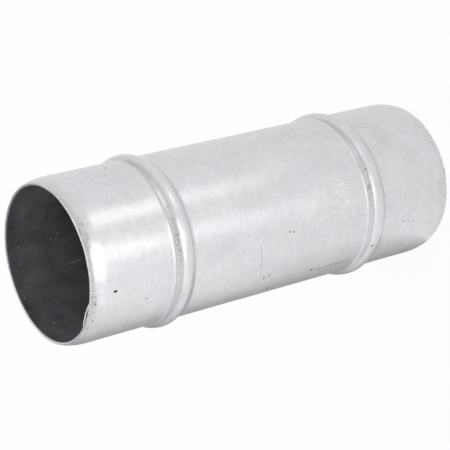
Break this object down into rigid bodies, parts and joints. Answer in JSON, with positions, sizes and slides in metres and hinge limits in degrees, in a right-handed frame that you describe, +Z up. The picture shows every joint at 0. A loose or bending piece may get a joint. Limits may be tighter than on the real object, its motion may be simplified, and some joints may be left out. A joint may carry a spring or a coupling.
{
  "type": "duct coupling",
  "caption": "Straight round galvanised steel coupling for ducts or hoses, with rolled beads that stop and hold the duct on each end and rims curled slightly inwards.",
  "frame": {"origin": "on the tube's axis, in the plane that the lower rim stands on", "axes": "+Z up along the tube's axis as it stands on one end; X and Y are free, because the form is round"},
  "size_m": [0.106, 0.106, 0.272],
  "materials": {
    "zinc": "hot-dip galvanised steel, satin and cloudy, finely brushed round the tube, with small pits, specks and scuffs"
  },
  "bodies": {
    "root": {"coupling": "zinc"}
  },
  "joints": []
}
